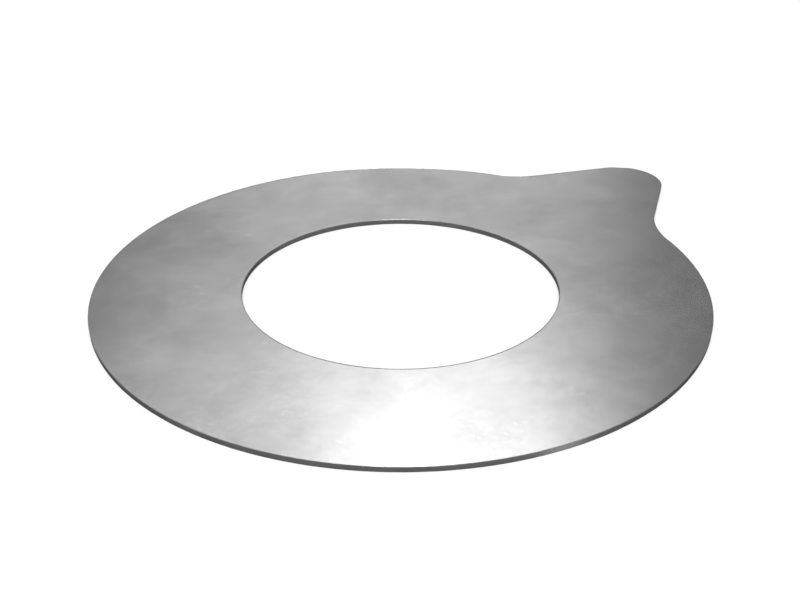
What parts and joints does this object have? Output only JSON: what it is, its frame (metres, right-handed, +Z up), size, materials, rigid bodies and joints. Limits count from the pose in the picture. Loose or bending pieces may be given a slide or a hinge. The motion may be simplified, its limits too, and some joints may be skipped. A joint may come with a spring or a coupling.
{
  "type": "steel shim",
  "caption": "Thin flat steel ring shim with a round hole and one rounded finger tab on its rim.",
  "frame": {"origin": "middle of the rectangle that the shim covers, on the surface that it lies on; the centre of the hole is 5.2 mm from it towards -X", "axes": "+Z up, square to the sheet; +X along the tab, from the centre of the hole to the end of the tab"},
  "size_m": [0.0684, 0.058, 0.0005],
  "materials": {
    "rolled_steel": "bare cold rolled sheet, softly mottled, satin, with darker cut edges"
  },
  "bodies": {
    "root": {"shim": "rolled_steel"}
  },
  "joints": []
}
